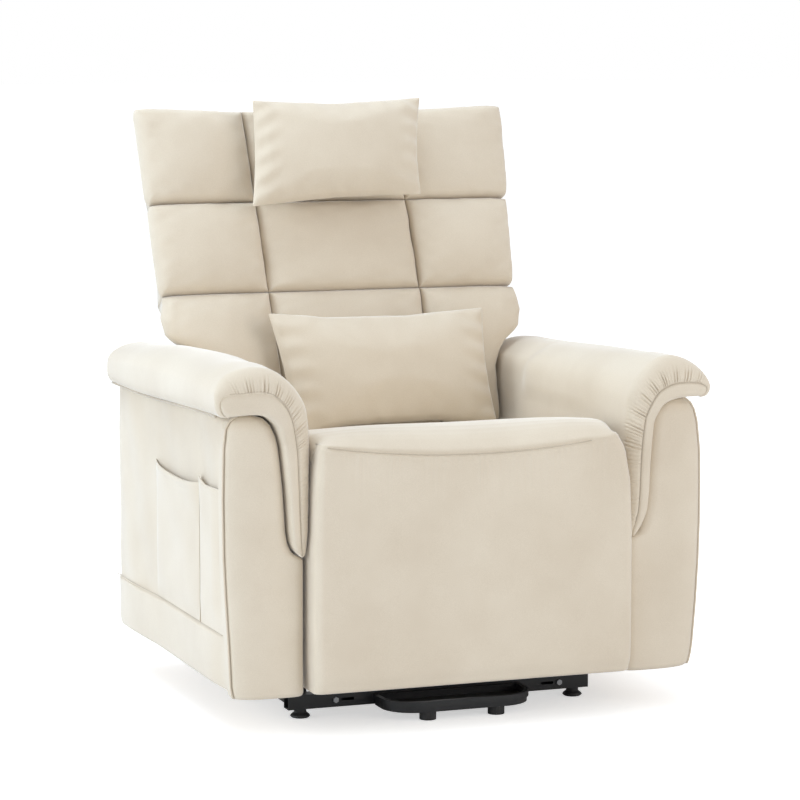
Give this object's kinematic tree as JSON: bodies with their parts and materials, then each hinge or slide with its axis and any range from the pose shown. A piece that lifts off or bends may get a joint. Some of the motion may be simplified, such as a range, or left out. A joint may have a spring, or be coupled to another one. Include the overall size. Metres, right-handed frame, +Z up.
{
  "type": "lift recliner chair",
  "caption": "Upholstered lift recliner chair with blocked back, padded arms, hinged legrest, loose pillows, side pockets and a steel lifting base.",
  "frame": {"origin": "on the floor, under the middle of the chair's width and depth", "axes": "+Z up, the sitter faces -Y, +X to the right as seen from the front"},
  "size_m": [0.936, 0.9786, 1.0705],
  "materials": {
    "cream_fabric": "soft brushed velvet-like upholstery cloth",
    "black_steel": "semi-gloss powder coat",
    "black_plastic": "fine matt",
    "bright_rod": "ground and bright",
    "plywood": "raw plywood"
  },
  "bodies": {
    "base": {"base_front_tube": "black_steel", "base_rear_tube": "black_steel", "base_middle_tube": "black_steel", "base_bolt_left": "bright_rod", "base_bolt_right": "bright_rod", "base_rail_left": "black_steel", "base_rail_right": "black_steel", "glide_front_left": "black_plastic", "glide_front_right": "black_plastic", "glide_rear_left": "black_plastic", "glide_rear_right": "black_plastic", "stabiliser_tray": "black_steel", "tray_foot_left": "black_plastic", "tray_foot_right": "black_plastic", "supply_box": "black_plastic"},
    "lift_arms": {"front_lift_link_left": "black_steel", "front_lift_link_right": "black_steel", "lift_torque_tube": "black_steel"},
    "rear_links": {"rear_lift_link_left": "black_steel", "rear_lift_link_right": "black_steel"},
    "actuator_body": {"actuator_tube": "black_steel", "actuator_motor": "black_plastic"},
    "actuator_rod": {"actuator_rod": "bright_rod"},
    "chair": {"seat_rail_left": "black_steel", "seat_rail_right": "black_steel", "seat_cross_tube_front": "black_steel", "seat_cross_tube_rear": "black_steel", "seat_deck": "plywood", "seat_front_board": "plywood", "seat_cushion": "cream_fabric", "arm_inner_panel_left": "cream_fabric", "arm_inner_panel_right": "cream_fabric", "arm_outer_cover_left": "cream_fabric", "arm_outer_cover_right": "cream_fabric", "arm_lower_band_left": "cream_fabric", "arm_lower_band_right": "cream_fabric", "arm_bottom_board_left": "plywood", "arm_bottom_board_right": "plywood", "arm_front_panel_left": "cream_fabric", "arm_front_panel_right": "cream_fabric", "arm_pad_left": "cream_fabric", "arm_pad_right": "cream_fabric", "side_pockets_left": "cream_fabric"},
    "legrest": {"legrest_pad": "cream_fabric", "legrest_board": "plywood"},
    "legrest_cranks": {"legrest_crank": "black_steel"},
    "legrest_links": {"legrest_link_left": "black_steel", "legrest_link_right": "black_steel"},
    "back": {"back_row_lower": "cream_fabric", "back_row_middle": "cream_fabric", "back_row_top": "cream_fabric", "back_shell": "cream_fabric", "back_upright_left": "plywood", "back_upright_right": "plywood", "back_bracket_left": "black_steel", "back_bracket_right": "black_steel", "back_rail_lower": "plywood", "back_rail_top": "plywood"},
    "head_pillow": {"head_pillow": "cream_fabric"},
    "lumbar_pillow": {"lumbar_pillow": "cream_fabric"}
  },
  "joints": [
    {"name": "lift", "type": "hinge", "parent": "base", "child": "lift_arms", "pos_m": [0, -0.19925, 0.125], "axis": [1, 0, 0], "range_deg": [0, 62]},
    {"name": "chair_tilt", "type": "hinge", "parent": "lift_arms", "child": "chair", "pos_m": [0, 0.11575, 0.1], "axis": [1, 0, 0], "range_deg": [-38, 0]},
    {"name": "rear_link_swing", "type": "hinge", "parent": "base", "child": "rear_links", "pos_m": [0, -0.22595, 0.1172], "axis": [1, 0, 0], "range_deg": [0, 65.6]},
    {"name": "actuator_swing", "type": "hinge", "parent": "base", "child": "actuator_body", "pos_m": [0, 0.10135, 0.055], "axis": [1, 0, 0], "range_deg": [0, 8.4]},
    {"name": "actuator_stroke", "type": "slide", "parent": "actuator_body", "child": "actuator_rod", "axis": [0, -0.9045, 0.4265], "range_m": [0, 0.0522]},
    {"name": "legrest_swing", "type": "hinge", "parent": "chair", "child": "legrest", "pos_m": [0, -0.46125, 0.475], "axis": [-1, 0, 0], "range_deg": [0, 82]},
    {"name": "legrest_crank_turn", "type": "hinge", "parent": "chair", "child": "legrest_cranks", "pos_m": [0, -0.24925, 0.33], "axis": [-1, 0, 0], "range_deg": [0, 82]},
    {"name": "legrest_link_turn", "type": "hinge", "parent": "legrest_cranks", "child": "legrest_links", "pos_m": [0, -0.16925, 0.195], "axis": [-1, 0, 0], "range_deg": [-82, 0]},
    {"name": "back_recline", "type": "hinge", "parent": "chair", "child": "back", "pos_m": [0, 0.16575, 0.33], "axis": [-1, 0, 0], "range_deg": [0, 50]},
    {"name": "head_pillow_slide", "type": "slide", "parent": "back", "child": "head_pillow", "axis": [0, 0.284, 0.9588], "range_m": [0, 0.1]},
    {"name": "lumbar_pillow_lift", "type": "slide", "parent": "chair", "child": "lumbar_pillow", "axis": [0, -0.6, 0.8], "range_m": [0, 0.3]}
  ],
  "couplings": [
    {"joint": "chair_tilt", "follows": "lift", "ratio": -0.6129},
    {"joint": "rear_link_swing", "follows": "lift", "ratio": 1.0571},
    {"joint": "actuator_swing", "follows": "lift", "ratio": 0.13513},
    {"joint": "actuator_stroke", "follows": "lift", "m_per_rad": 0.048145},
    {"joint": "legrest_crank_turn", "follows": "legrest_swing", "ratio": 1},
    {"joint": "legrest_link_turn", "follows": "legrest_swing", "ratio": -1}
  ]
}
